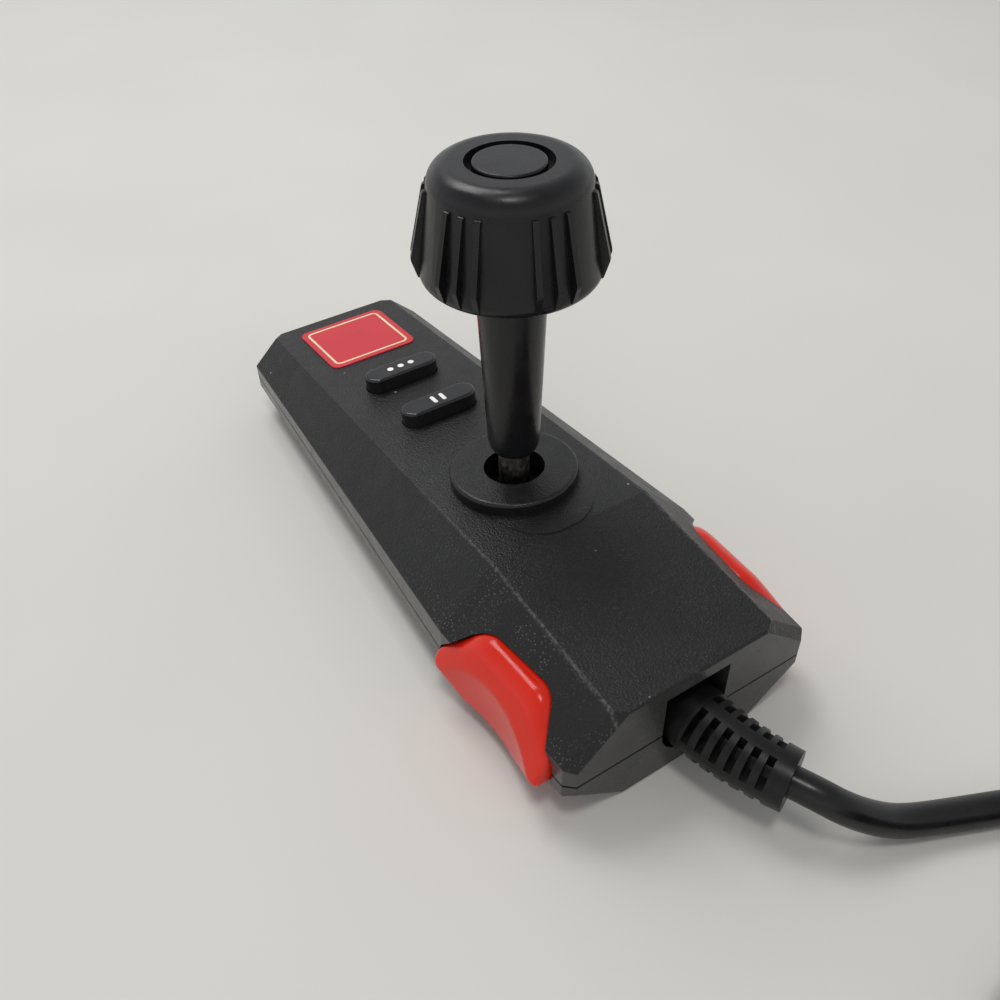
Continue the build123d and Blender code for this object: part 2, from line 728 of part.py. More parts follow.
def upright_switch(x, y):
    """Square push switch standing on the board."""
    half = SWITCH_SIZE / 2
    body = block(x, y, BOARD_TOP_Z, BOARD_TOP_Z + SWITCH_BODY_HEIGHT, half, half)
    return body + pillar(x, y, BOARD_TOP_Z, SWITCH_TOP_Z, SWITCH_PLUNGER_R)


def direction_switches():
    turns = [math.radians(90 * side) for side in range(4)]
    places = [(SWITCH_RADIUS * math.cos(turn), SWITCH_RADIUS * math.sin(turn)) for turn in turns]
    return Compound([upright_switch(x, y).solid() for x, y in places])


def menu_switches():
    return Compound([upright_switch(0, menu_switch_y(y)).solid() for y in MENU_BUTTONS.values()])


def fire_switch(side):
    """Side-facing push switch on the board's edge."""
    half = SWITCH_SIZE / 2
    middle = (FIRE_FAR_Y + FIRE_NEAR_Y) / 2
    face = FIRE_REAR_X - SWITCH_HEIGHT + SWITCH_BODY_HEIGHT
    x = side * (face - FIRE_SWITCH_DEPTH / 2)
    body = block(x, middle, BOARD_TOP_Z, BOARD_TOP_Z + FIRE_SWITCH_HEIGHT, FIRE_SWITCH_DEPTH / 2, half)
    plunger = Plane(origin=(side * (face - 1), middle, SEAM_Z), z_dir=(side, 0, 0)) * Cylinder(
        SWITCH_PLUNGER_R, FIRE_REAR_X - face + FIRE_TRAVEL, align=BASE
    )
    return body + plunger


def fire_switches():
    return Compound([fire_switch(side).solid() for side in (1, -1)])


def circuit_board():
    """Tapered board with screw holes and notches round the housing's bosses."""
    points = [
        (BOARD_FAR_HALF, BOARD_FAR_Y),
        (BOARD_NEAR_HALF, BOARD_NEAR_Y),
        (-BOARD_NEAR_HALF, BOARD_NEAR_Y),
        (-BOARD_FAR_HALF, BOARD_FAR_Y),
    ]
    outline = FilletPolyline(*points, radius=1.0, close=True)
    board = extrude(Plane.XY.offset(BOARD_Z) * make_face(outline), amount=BOARD_THICKNESS)
    holes = [pillar(x, y, 0, BEYOND, BOSS_R + GAP) for x, y in housing_screw_places()]
    holes += [pillar(x, y, 0, BEYOND, SCREW_R + RUNNING) for x, y in both_sides(BOARD_SCREWS)]
    return board.cut(*holes)


def board_connector():
    """Wire header on the board."""
    half = CONNECTOR_WIDTH / 2
    body = block(0, CONNECTOR_Y, BOARD_TOP_Z, BOARD_TOP_Z + CONNECTOR_HEIGHT, half, CONNECTOR_DEPTH / 2)
    cuts = []
    for x, end in wire_places():
        z = BOARD_TOP_Z + CONNECTOR_HEIGHT / 2
        mouth = CONNECTOR_Y + CONNECTOR_DEPTH / 2 - WIRE_DEPTH - GAP
        place = Plane(origin=(end, mouth, z), z_dir=(0, 1, 0))
        cuts.append(place * Cylinder(WIRE_HOLE_R, CONNECTOR_DEPTH, align=BASE))
    return body.cut(*cuts)


def wire_places():
    """For each wire its place across the cord's end and across the header."""
    places = [index - (WIRE_COUNT - 1) / 2 for index in range(WIRE_COUNT)]
    return [(place * WIRE_PITCH, place * WIRE_FAN) for place in places]


def lead_wires():
    """Thin wires fanning from the cord's end to the header."""
    wires = []
    for start_x, end_x in wire_places():
        start = Vector(start_x, CORD_END_Y, SEAM_Z)
        depth = CONNECTOR_Y + CONNECTOR_DEPTH / 2 - WIRE_DEPTH
        end = Vector(end_x, depth, BOARD_TOP_Z + CONNECTOR_HEIGHT / 2)
        run = end - start
        wire = Plane(origin=start, z_dir=run) * Cylinder(WIRE_R, run.length, align=BASE)
        wires.append(split(wire, bisect_by=Plane.XZ.offset(-CORD_END_Y), keep=Keep.TOP).solid())
    return Compound(wires)


def screw(x, y, head_z, length, up):
    """Round-headed screw: head at head_z, shank running up or down from it."""
    way = 1 if up else -1
    head = Pos(x, y, head_z - way * SCREW_HEAD_HEIGHT / 2) * Cylinder(SCREW_HEAD_R, SCREW_HEAD_HEIGHT)
    shank = Pos(x, y, head_z + way * length / 2) * Cylinder(SCREW_R, length)
    return (head + shank).solid()


def housing_screws():
    return Compound([screw(x, y, HOUSING_SCREW_SINK, HOUSING_SCREW_LENGTH, True)
                     for x, y in housing_screw_places()])


def cradle_screws():
    bottom = CRADLE_TOP_Z - CRADLE_THICKNESS
    return Compound([screw(x, y, bottom, SHORT_SCREW_LENGTH, True) for x, y in cradle_screw_places()])


def board_screws():
    return Compound([screw(x, y, BOARD_TOP_Z, SHORT_SCREW_LENGTH, False)
                     for x, y in both_sides(BOARD_SCREWS)])


def clamp_screws():
    top = SEAM_Z + CLAMP_HEIGHT
    return Compound([screw(x, y, top, CLAMP_SCREW_LENGTH, False)
                     for x, y in both_sides([(CLAMP_SCREW_X, CLAMP_Y)])])


def cord_clamp():
    """Bar over the cord, on the lower shell's saddle."""
    bar = block(0, CLAMP_Y, SEAM_Z, SEAM_Z + CLAMP_HEIGHT, CLAMP_HALF, CLAMP_WIDTH / 2)
    holes = [pillar(x, y, 0, BEYOND, SCREW_R + RUNNING)
             for x, y in both_sides([(CLAMP_SCREW_X, CLAMP_Y)])]
    return bar.cut(cord_inner(), *holes)


def relief_frame(run):
    """Plane square to the relief's axis, run millimetres from its start."""
    if run < 0:
        return Plane(origin=(0, RELIEF_START_Y + run, SEAM_Z), x_dir=(1, 0, 0), z_dir=(0, 1, 0))
    turn = run / RELIEF_R
    origin = (RELIEF_R * (math.cos(turn) - 1), RELIEF_START_Y + RELIEF_R * math.sin(turn), SEAM_Z)
    return Plane(origin=origin, x_dir=(math.cos(turn), math.sin(turn), 0),
                 z_dir=(-math.sin(turn), math.cos(turn), 0))


def cord_inner():
    """The cord inside the housing and the strain relief."""
    start = (0, RELIEF_START_Y, SEAM_Z)
    path = Curve() + [
        Line((0, CORD_END_Y, SEAM_Z), start),
        ThreePointArc(start, relief_frame(RELIEF_LENGTH / 2).origin, relief_frame(RELIEF_LENGTH).origin),
    ]
    section = Plane(origin=(0, CORD_END_Y, SEAM_Z), z_dir=(0, 1, 0)) * Circle(CORD_R)
    return sweep(section, path=path)


def relief_slots():
    """Rows of slots between four webs, square to the bent axis."""
    slots = []
    for index in range(RELIEF_SLOTS):
        run = RELIEF_BASE_LENGTH + RELIEF_PITCH * (index + 0.5)
        ring = Circle(2 * RELIEF_BASE_R) - Circle(CORD_R)
        ring -= Rectangle(BEYOND, RELIEF_WEB)
        ring -= Rectangle(RELIEF_WEB, BEYOND)
        slots.append(extrude(relief_frame(run) * ring, amount=RELIEF_SLOT / 2, both=True))
    return slots


def strain_relief():
    """Bent, tapered bush with slots, a neck through the housing and a flange behind it."""
    taper = (RELIEF_BASE_R - RELIEF_END_R) / (RELIEF_LENGTH - RELIEF_BASE_LENGTH)
    rings = [(0.0, RELIEF_MOUTH_R), (RELIEF_PITCH / 2, RELIEF_BASE_R), (RELIEF_BASE_LENGTH, RELIEF_BASE_R)]
    for index in range(RELIEF_SLOTS):
        run = RELIEF_PITCH * (index + 1)
        rings.append((RELIEF_BASE_LENGTH + run, RELIEF_BASE_R - taper * run))
    rings.append((RELIEF_LENGTH, RELIEF_END_R))
    body = loft([relief_frame(run) * Circle(radius) for run, radius in rings], ruled=True)
    back = NEAR_Y - POCKET_DEPTH - WALL
    neck = Plane(origin=(0, back - SLIDING, SEAM_Z), z_dir=(0, 1, 0)) * Cylinder(
        RELIEF_NECK_R - RUNNING, RELIEF_START_Y - back + SLIDING, align=BASE
    )
    flange = Plane(origin=(0, back - SLIDING - RELIEF_FLANGE, SEAM_Z), z_dir=(0, 1, 0)) * Cylinder(
        RELIEF_BASE_R, RELIEF_FLANGE, align=BASE
    )
    return (body + neck + flange).cut(cord_inner(), *relief_slots())


def route_radii(points):
    """For each corner the largest arc that its two runs allow."""
    radii = []
    for before, corner, after in zip(points, points[1:], points[2:]):
        arriving = Vector(corner) - Vector(before)
        leaving = Vector(after) - Vector(corner)
        half_turn = math.radians(arriving.get_angle(leaving)) / 2
        shorter = min(arriving.length, leaving.length)
        radii.append(0.45 * shorter / math.tan(half_turn))
    return radii


def cord_tube(name, points):
    """Tube along straight runs joined by tangent arcs."""
    radii = route_radii(points)
    path = FilletPolyline(*points, radius=radii)
    start = Plane(origin=points[0], z_dir=Vector(points[1]) - Vector(points[0]))
    tube = sweep(start * Circle(CORD_R), path=path)
    expected = math.pi * CORD_R**2 * path.length
    print(name, "radii", [round(radius, 1) for radius in radii])
    print(name, "length", round(path.length, 1), "volume share", round(tube.volume / expected, 4))
    return tube


def coil_state(turn):
    """Point and direction of the coil's centre line at a turn angle in radians."""
    layer_turn = 2 * math.pi * COIL_TURNS
    rate = COIL_PITCH / (2 * math.pi)
    inner = COIL_OUTER_R - rate * layer_turn
    climb = turn - layer_turn
    if climb <= 0:
        radius, slope, z, rise = COIL_OUTER_R - rate * turn, -rate, 0.0, 0.0
    elif climb < math.pi:
        share = climb / math.pi
        radius = inner - rate * (climb - climb**2 / math.pi)
        slope = -rate * (1 - 2 * share)
        z = COIL_LAYER * share**2 * (3 - 2 * share)
        rise = COIL_LAYER * 6 * share * (1 - share) / math.pi
    else:
        radius, slope, z, rise = inner + rate * (climb - math.pi), rate, COIL_LAYER, 0.0
    angle = math.radians(COIL_START) - turn
    point = Vector(COIL_X + radius * math.cos(angle), COIL_Y + radius * math.sin(angle), COIL_REST_Z + z)
    along = Vector(
        slope * math.cos(angle) + radius * math.sin(angle),
        slope * math.sin(angle) - radius * math.cos(angle),
        rise,
    )
    return point, along.normalized()


def biarc(start, start_way, end, end_way):
    """Two tangent arcs between two points with given directions."""
    chord = end - start
    spread = 2 * (1 - start_way.dot(end_way))
    lean = chord.dot(start_way + end_way)
    reach = (math.sqrt(lean**2 + spread * chord.dot(chord)) - lean) / spread
    middle = (start + end + (start_way - end_way) * reach) * 0.5
    middle_way = chord - (start_way + end_way) * reach
    return [
        TangentArc(start, middle, tangent=start_way),
        TangentArc(middle, end, tangent=middle_way),
    ]


def coil_ends():
    """The coil's two ends, each with its direction along the cord."""
    start, start_way = coil_state(0.0)
    end, end_way = coil_state(coil_sweep())
    return start - start_way * CORD_D, start_way, end + end_way * CORD_D, end_way


def coil_sweep():
    """Whole turn angle: both layers with the half turn between them, up to the upper layer's last arc."""
    return 2 * math.pi * (2 * COIL_TURNS) + math.pi - math.radians(COIL_END_ARC)


GAP_STEPS = 48


def coil_gap():
    """Least distance between two turns, surface to surface."""
    steps = GAP_STEPS * (2 * COIL_TURNS + 1)
    points = [coil_state(coil_sweep() * step / steps)[0] for step in range(steps + 1)]
    near = GAP_STEPS // 2
    least = min(
        (points[i] - points[j]).length
        for i in range(len(points))
        for j in range(i + near, len(points))
    )
    return least - CORD_D


def cord_coil():
    """Two layers of turns in one unbroken tube, spiralling in and out again."""
    first, first_way, last, last_way = coil_ends()
    quarters = round(coil_sweep() / (math.pi / 2))
    states = [coil_state(math.pi / 2 * index) for index in range(quarters + 1)]
    edges = [Line(first, states[0][0])]
    for (start, start_way), (end, end_way) in zip(states, states[1:]):
        edges += biarc(start, start_way, end, end_way)
    edges.append(Line(states[-1][0], last))
    path = Curve() + edges
    coil = sweep(Plane(origin=first, z_dir=first_way) * Circle(CORD_R), path=path)
    print("coil gap", round(coil_gap(), 2), "length", round(sum(e.length for e in edges), 1))
    return coil


def coil_tie():
    """Closed band round all the turns of the coil."""
    inner = COIL_OUTER_R - COIL_PITCH * (COIL_TURNS + 0.5) - CORD_R - SLIDING
    outer = COIL_OUTER_R + CORD_R + SLIDING
    high = COIL_LAYER + CORD_D + 2 * SLIDING
    turn = math.radians(TIE_ANGLE)
    middle = (inner + outer) / 2
    origin = (COIL_X + middle * math.cos(turn), COIL_Y + middle * math.sin(turn),
              COIL_REST_Z + COIL_LAYER / 2)
    place = Plane(origin=origin, x_dir=(math.cos(turn), math.sin(turn), 0),
                  z_dir=(math.sin(turn), -math.cos(turn), 0))
    width = outer - inner
    band = RectangleRounded(width + 2 * TIE_THICKNESS, high + 2 * TIE_THICKNESS, CORD_R)
    band -= RectangleRounded(width, high, CORD_R - TIE_THICKNESS)
    return extrude(place * band, amount=TIE_WIDTH / 2, both=True)


def lead_route():
    """Points of the free cord from the strain relief to the coil."""
    mouth = relief_frame(RELIEF_LENGTH)
    end, way, _, _ = coil_ends()
    exit_point = mouth.origin + mouth.z_dir * LEAD_EXIT
    return [mouth.origin, exit_point, *LEAD_POINTS, end - way * LEAD_ENTRY, end]


def tail_route():
    """Points of the free cord from the coil to the plug."""
    _, _, end, way = coil_ends()
    mouth, axis = plug_mouth()
    return [end, end + way * TAIL_EXIT, *TAIL_POINTS, mouth + axis * TAIL_ENTRY, mouth]


def plug_mouth():
    """Where the cord enters the plug, and the way from there back along the cord."""
    heading = math.radians(PLUG_HEADING)
    mouth = Vector(PLUG_X, PLUG_Y, PLUG_REST_Z + PLUG_HEIGHT / 2)
    return mouth, Vector(-math.cos(heading), -math.sin(heading), 0)


def plug_place(depth):
    """Plane square to the plug's axis, depth behind the cord's mouth, with x across and y up."""
    mouth, axis = plug_mouth()
    across = Vector(0, 0, 1).cross(-axis)
    return Plane(origin=mouth - axis * depth, x_dir=across, z_dir=-axis)


def plug_hood():
    """Moulded plug body with a round neck."""
    neck = plug_place(0) * Cylinder(PLUG_NECK_R, PLUG_NECK_LENGTH + OVERCUT, align=BASE)
    body = Box(PLUG_WIDTH, PLUG_HEIGHT, PLUG_LENGTH, align=BASE)
    body = plug_place(PLUG_NECK_LENGTH) * fillet(body.edges().filter_by(Axis.Z), PLUG_FILLET)
    return (neck + body) - extrude(plug_place(face_depth()) * face_outline(), amount=BEYOND)


def face_depth():
    return PLUG_NECK_LENGTH + PLUG_LENGTH - FACE_SINK


def face_outline():
    """D-shaped outline of the plug's face."""
    half = FACE_WIDTH / 2
    points = [
        (half, FACE_HEIGHT / 2),
        (-half, FACE_HEIGHT / 2),
        (-half + FACE_SLANT, -FACE_HEIGHT / 2),
        (half - FACE_SLANT, -FACE_HEIGHT / 2),
    ]
    return make_face(FilletPolyline(*points, radius=FACE_CORNER, close=True))


def contact_places():
    """Nine places in rows of five and four."""
    upper_row = [(CONTACT_PITCH * (i - 2), CONTACT_ROW / 2) for i in range(5)]
    lower_row = [(CONTACT_PITCH * (i - 1.5), -CONTACT_ROW / 2) for i in range(4)]
    return upper_row + lower_row


def plug_face():
    """Insulating insert with nine sockets."""
    insert = extrude(plug_place(face_depth()) * face_outline(), amount=FACE_SINK + FACE_LENGTH)
    start = face_depth() + FACE_SINK + FACE_LENGTH - CONTACT_LENGTH
    holes = [plug_place(start) * Pos(x, y) * Cylinder(CONTACT_R, BEYOND, align=BASE)
             for x, y in contact_places()]
    return insert.cut(*holes)


def plug_contacts():
    """Nine metal tubes in the insert."""
    start = face_depth() + FACE_SINK + FACE_LENGTH - CONTACT_LENGTH
    ring = Circle(CONTACT_R) - Circle(CONTACT_BORE_R)
    return Compound([
        extrude(plug_place(start) * Pos(x, y) * ring, amount=CONTACT_LENGTH - GAP).solid()
        for x, y in contact_places()
    ])


PARTS = {
    "top_housing": top_housing,
    "bottom_housing": bottom_housing,
    "label_plate": label_plate,
    "collar": collar,
    "stick_cradle": stick_cradle,
    "circuit_board": circuit_board,
    "direction_switches": direction_switches,
    "menu_switches": menu_switches,
    "fire_switches": fire_switches,
    "board_connector": board_connector,
    "lead_wires": lead_wires,
    "housing_screws": housing_screws,
    "cradle_screws": cradle_screws,
    "board_screws": board_screws,
    "clamp_screws": clamp_screws,
    "cord_clamp": cord_clamp,
    "strain_relief": strain_relief,
    "cord_inner": cord_inner,
    "pivot_ring": pivot_ring,
    "stick_core": stick_core,
    "stick_pin": stick_pin,
    "stick_sleeve": stick_sleeve,
    "stick_actuator": stick_actuator,
    "stick_nut": stick_nut,
    "knob": knob,
    "knob_cap": knob_cap,
    "select_button": lambda: menu_button(MENU_BUTTONS["select_button"]),
    "pause_button": lambda: menu_button(MENU_BUTTONS["pause_button"]),
    "fire_button_right": fire_button,
    "fire_button_left": lambda: mirror(fire_button(), about=Plane.YZ),
    "cord_lead": lambda: cord_tube("cord_lead", lead_route()),
    "cord_coil": cord_coil,
    "coil_tie": coil_tie,
    "cord_tail": lambda: cord_tube("cord_tail", tail_route()),
    "plug_hood": plug_hood,
    "plug_face": plug_face,
    "plug_contacts": plug_contacts,
}


os.makedirs("parts", exist_ok=True)
for name, make in PARTS.items():
    export_step(make(), f"parts/{name}.step")
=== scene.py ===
import math

import bpy
from mathutils import Matrix, Vector, kdtree


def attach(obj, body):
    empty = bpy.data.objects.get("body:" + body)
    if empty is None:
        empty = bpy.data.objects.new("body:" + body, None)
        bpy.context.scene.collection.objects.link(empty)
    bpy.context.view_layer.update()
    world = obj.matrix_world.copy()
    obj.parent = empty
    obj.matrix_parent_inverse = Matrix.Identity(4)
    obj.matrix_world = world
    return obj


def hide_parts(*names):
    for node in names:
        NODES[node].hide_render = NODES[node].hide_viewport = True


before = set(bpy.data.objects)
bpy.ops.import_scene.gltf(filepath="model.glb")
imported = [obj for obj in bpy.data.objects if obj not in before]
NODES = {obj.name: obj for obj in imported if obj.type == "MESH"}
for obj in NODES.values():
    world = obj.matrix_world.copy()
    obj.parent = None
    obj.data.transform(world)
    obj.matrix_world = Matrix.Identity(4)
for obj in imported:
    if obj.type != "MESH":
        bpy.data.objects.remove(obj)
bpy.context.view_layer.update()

MM = 0.001

# Camera
FOCAL_PX = 990.0
FRAME_PX = 1000
SENSOR_MM = 36.0
CAMERA_AT = Vector((67.48, 104.3, 129.75)) * MM
CAMERA_AZIMUTH = 58.25
CAMERA_ELEVATION = 42.33
CAMERA_ROLL = -1.63
CAMERA_NEAR = 0.005

# Seam between the two half shells, in millimetres
SEAM_Z = 9.1

# Deck, as a plane in metres that falls towards the label end
DECK_Z = 21.85 * MM
DECK_SLOPE = 0.0784

# Cord route, in millimetres
CORD_D = 4.8
RELIEF_START_Y = 42.0
RELIEF_LENGTH = 20.9
RELIEF_BEND = math.radians(24.0)
LEAD_EXIT = 3.4
LEAD_ENTRY = 12.0
LEAD_POINTS = [
    (-7.8, 68.2, 7.7),
    (-11.0, 70.6, 5.5),
    (-15.4, 73.0, 3.3),
    (-22.5, 75.9, 2.42),
    (-34.0, 81.0, 2.42),
    (-41.5, 86.5, 2.42),
    (-46.3, 95.5, 2.6),
]
COIL_CENTRE = (-16.0, 135.0)
COIL_TURNS = 4
COIL_OUTER_R = 37.0
COIL_PITCH = 5.4
COIL_LAYER = 5.35
COIL_REST_Z = 3.37
COIL_START = math.radians(190.0)
COIL_END_ARC = math.radians(90.0)
COIL_STEPS = 16
COIL_SWELL = 1 / (0.75 + 0.25 * math.cos(2 * math.pi / COIL_STEPS))
TAIL_EXIT = 9.0
TAIL_ENTRY = 14.0
TAIL_POINTS = [
    (5.5, 175.7, 10.3),
    (17.6, 167.7, 13.4),
    (20.4, 153.4, 17.0),
]
PLUG_MOUTH = Vector((-1.3, 138.6, 19.97))
PLUG_HEADING = math.radians(191.5)

# Shell's finish: colours, lengths in millimetres, parts of the normal and shares of a cell
GRAIN_SIZE = 0.36
GRAIN_DEPTH = 0.07
GRAIN_SMOOTHNESS = 0.6
GRAINED_FROM_UP = 0.2
GRAINED_FULL_UP = 0.35
GRAINED_ROUGHNESS = 0.42
SMOOTH_ROUGHNESS = 0.24
SHELL_DARK = (0.0045, 0.0045, 0.005)
SHELL_PALE = (0.008, 0.008, 0.009)
# Upright faces get a paler base: a painted sheen standing in for their reflection of the table.
UPRIGHT_SHEEN_DARK = (0.036, 0.036, 0.035)
UPRIGHT_SHEEN_PALE = (0.052, 0.052, 0.05)
# Painted shade: a near-black band along the groove where the two shells meet.
SEAM_SHADE_HALF = 0.3
SEAM_SHADE = (0.0005, 0.0005, 0.0005)
DUST_SPACING = 4.5
DUST_CORE = 0.035
DUST_EDGE = 0.06
DUST_RARITY = 0.72
DUST = (0.3, 0.29, 0.27)
# Painted glints: pale dots on the chamfers and, fainter, on the deck, most towards the cable.
GLINT_SPACING = 0.5
GLINT_CORE = 0.14
GLINT_EDGE = 0.3
GLINT_ON_DECK = 0.25
GLINT_FROM_Y = -10.0
GLINT_FULL_Y = 25.0
CHAMFER_FROM_SIDE = 0.3
CHAMFER_FULL_SIDE = 0.5
# Painted highlight: a pale line along the deck's edges, most towards the cable.
DECK_EDGE_X = 14.5
EDGE_HIGHLIGHT_FULL = 0.12
EDGE_HIGHLIGHT_END = 0.42
EDGE_HIGHLIGHT_MOST = 0.8
# Colour of the painted glints and of the painted edge highlight.
PAINTED_HIGHLIGHT = (0.115, 0.115, 0.11)

# Colours of the other pieces
KNOB_BLACK = (0.006, 0.006, 0.007)
BUTTON_BLACK = (0.009, 0.009, 0.01)
SIDE_RED = (0.66, 0.016, 0.003)
LABEL_RED = (0.6, 0.018, 0.03)
LABEL_CREAM = (0.72, 0.6, 0.4)
INK = (0.78, 0.77, 0.73)
CORD_BLACK = (0.005, 0.005, 0.0055)
RELIEF_BLACK = (0.004, 0.004, 0.0045)
PLUG_BLACK = (0.012, 0.012, 0.013)
CONTACT_GOLD = (0.8, 0.6, 0.25)
SHAFT_GREY = (0.32, 0.3, 0.28)
SCREW_GREY = (0.5, 0.5, 0.5)
INNER_PALE = (0.6, 0.59, 0.55)
INNER_DARK = (0.03, 0.03, 0.03)
BOARD_BROWN = (0.25, 0.16, 0.06)

# Stick sleeve, in millimetres
SLEEVE_END_Z = 28.2
SLEEVE_END_R = 2.9
SLEEVE_ROUND = 2.6
SLEEVE_LOW_R = 4.2
SLEEVE_HIGH_Z = 60.0
SLEEVE_HIGH_R = 5.35
SLEEVE_TOP_Z = 65.9
SLEEVE_BORE_R = 2.6
SLEEVE_END_STEPS = 8
SLEEVE_TURN_STEPS = 64

# Side buttons, in millimetres: outline of Y and Z, and the outer face's form
FIRE_OUTLINE = [
    (14.8, 9.1),
    (19.9, 3.6),
    (38.8, 3.6),
    (42.9, 6.8),
    (42.9, 11.4),
    (36.6, 17.6),
    (22.6, 17.6),
]
FIRE_CORNERS = [2.5, 4.0, 3.0, 3.0, 3.5, 5.0, 6.0]
FIRE_ARC_STEPS = 10
FIRE_STEP = 0.4
FIRE_RINGS = 48
FIRE_CROWDING = 1.4
FIRE_BACK_X = 16.6
FIRE_RIDGE_X = 25.6
FIRE_WIDEST_Y = 22.0
FIRE_NARROWING = 0.042
FIRE_FACET_SLOPE = 0.45
FIRE_UNDER = 2.5
FIRE_DISH_X = 23.45
FIRE_DISH_Y = 30.2
FIRE_DISH_R = 32.0
FIRE_MIDDLE = Vector((FIRE_DISH_Y, 10.6))
FIRE_RIDGE_SOFT = 0.3
FIRE_RIM_LEAST = 0.8
FIRE_RIM_MOST = 2.6
FIRE_RIM_LOW = 9.5
FIRE_RIM_HIGH = 15.5
FIRE_RIM_DROP = 0.75

# Marks on the keys and the label, in metres
SELECT_Y = -39.3 * MM
PAUSE_Y = -24.85 * MM
BUTTON_TOP = 2.8 * MM
LABEL_Y = -59.0 * MM
LABEL_TOP = 0.2 * MM
LABEL_WIDTH = 18.4 * MM
LABEL_LENGTH = 17.4 * MM
LABEL_RADIUS = 1.75 * MM
MARK_THICKNESS = 0.03 * MM
MARK_ARC_STEPS = 6
BAR_PLACES = (-0.9 * MM, 0.9 * MM)
BAR_WIDTH = 0.75 * MM
BAR_LENGTH = 2.3 * MM
DOT_PLACES = (-2.2 * MM, 0.0, 2.2 * MM)
DOT_SIZE = 1.2 * MM
KEYLINE_INSET = 1.1 * MM
KEYLINE_WIDTH = 0.45 * MM

# Surroundings, in metres and watts
TABLE_HALF = 1.2
TABLE_PALE = (0.69, 0.68, 0.64)
TABLE_DARK = (0.66, 0.65, 0.615)
LIGHT_TARGET = (0, 0, 0.02)
OVERHEAD_AT = (0.12, 0.2, 0.85)
OVERHEAD_SIZE = 0.16
OVERHEAD_POWER = 1.5
OVERHEAD_COLOR = (1.0, 0.98, 0.95)
BEHIND_AT = (0.02, -0.42, 0.72)
BEHIND_SIZE = 0.4
BEHIND_POWER = 2.7
SKY_COLOR = (0.97, 0.98, 1.0, 1)
HORIZON = 0.85
ZENITH = 0.33
HORIZON_HEIGHT = 0.1
ZENITH_HEIGHT = 0.85


# Objects and camera

def add_object(name, data):
    """New object in the scene's collection."""
    made = bpy.data.objects.new(name, data)
    bpy.context.scene.collection.objects.link(made)
    return made


def make_camera():
    """Camera at the photograph's place, with its small roll."""
    azimuth = math.radians(CAMERA_AZIMUTH)
    elevation = math.radians(CAMERA_ELEVATION)
    roll = math.radians(CAMERA_ROLL)
    back = Vector((
        math.cos(azimuth) * math.cos(elevation),
        math.sin(azimuth) * math.cos(elevation),
        math.sin(elevation),
    ))
    right = Vector((0, 0, 1)).cross(back).normalized()
    up = back.cross(right)
    right, up = (right * math.cos(roll) + up * math.sin(roll),
                 up * math.cos(roll) - right * math.sin(roll))
    data = bpy.data.cameras.new("camera")
    data.sensor_width = SENSOR_MM
    data.lens = FOCAL_PX / FRAME_PX * SENSOR_MM
    data.clip_start = CAMERA_NEAR
    camera = add_object("camera", data)
    camera.matrix_world = Matrix((
        (right.x, up.x, back.x, CAMERA_AT.x),
        (right.y, up.y, back.y, CAMERA_AT.y),
        (right.z, up.z, back.z, CAMERA_AT.z),
        (0, 0, 0, 1),
    ))
    bpy.context.scene.camera = camera


# Cord

def relief_end():
    """Place and direction of the strain relief's end."""
    radius = RELIEF_LENGTH / RELIEF_BEND
    place = Vector((radius * (math.cos(RELIEF_BEND) - 1),
                    RELIEF_START_Y + radius * math.sin(RELIEF_BEND), SEAM_Z))
    return place, Vector((-math.sin(RELIEF_BEND), math.cos(RELIEF_BEND), 0))


def coil_point(turn, swell=1.0):
    """Point of the coil's centre line at a turn angle; swell moves control points off the line."""
    layer_turn = 2 * math.pi * COIL_TURNS
    rate = COIL_PITCH / (2 * math.pi)
    inner = COIL_OUTER_R - rate * layer_turn
    climb = turn - layer_turn
    if climb <= 0:
        radius, z = COIL_OUTER_R - rate * turn, 0.0
    elif climb < math.pi:
        share = climb / math.pi
        radius = inner - rate * (climb - climb**2 / math.pi)
        z = COIL_LAYER * share**2 * (3 - 2 * share)
    else:
        radius, z = inner + rate * (climb - math.pi), COIL_LAYER
    radius *= swell
    angle = COIL_START - turn
    x = COIL_CENTRE[0] + radius * math.cos(angle)
    y = COIL_CENTRE[1] + radius * math.sin(angle)
    return Vector((x, y, COIL_REST_Z + z))


def coil_way(turn):
    """Direction of the coil's centre line at a turn angle, from two close points."""
    step = 0.001
    return (coil_point(turn + step) - coil_point(turn)).normalized()


def cord_route():
    """The whole free cord's points, from the strain relief to the plug."""
    place, way = relief_end()
    sweep = 2 * math.pi * 2 * COIL_TURNS + math.pi - COIL_END_ARC
    first, last = coil_point(0), coil_point(sweep)
    first_way, last_way = coil_way(0), coil_way(sweep)
    start = first - first_way * CORD_D
    end = last + last_way * CORD_D
    count = round(sweep / (2 * math.pi) * COIL_STEPS)
    turns = [coil_point(sweep * step / count, COIL_SWELL) for step in range(count + 1)]
    back = Vector((-math.cos(PLUG_HEADING), -math.sin(PLUG_HEADING), 0))
    return (
        [place, place + way * LEAD_EXIT]
        + [Vector(point) for point in LEAD_POINTS]
        + [start - first_way * LEAD_ENTRY, start]
        + turns
        + [end, end + last_way * TAIL_EXIT]
        + [Vector(point) for point in TAIL_POINTS]
        + [PLUG_MOUTH + back * TAIL_ENTRY, PLUG_MOUTH]
    )


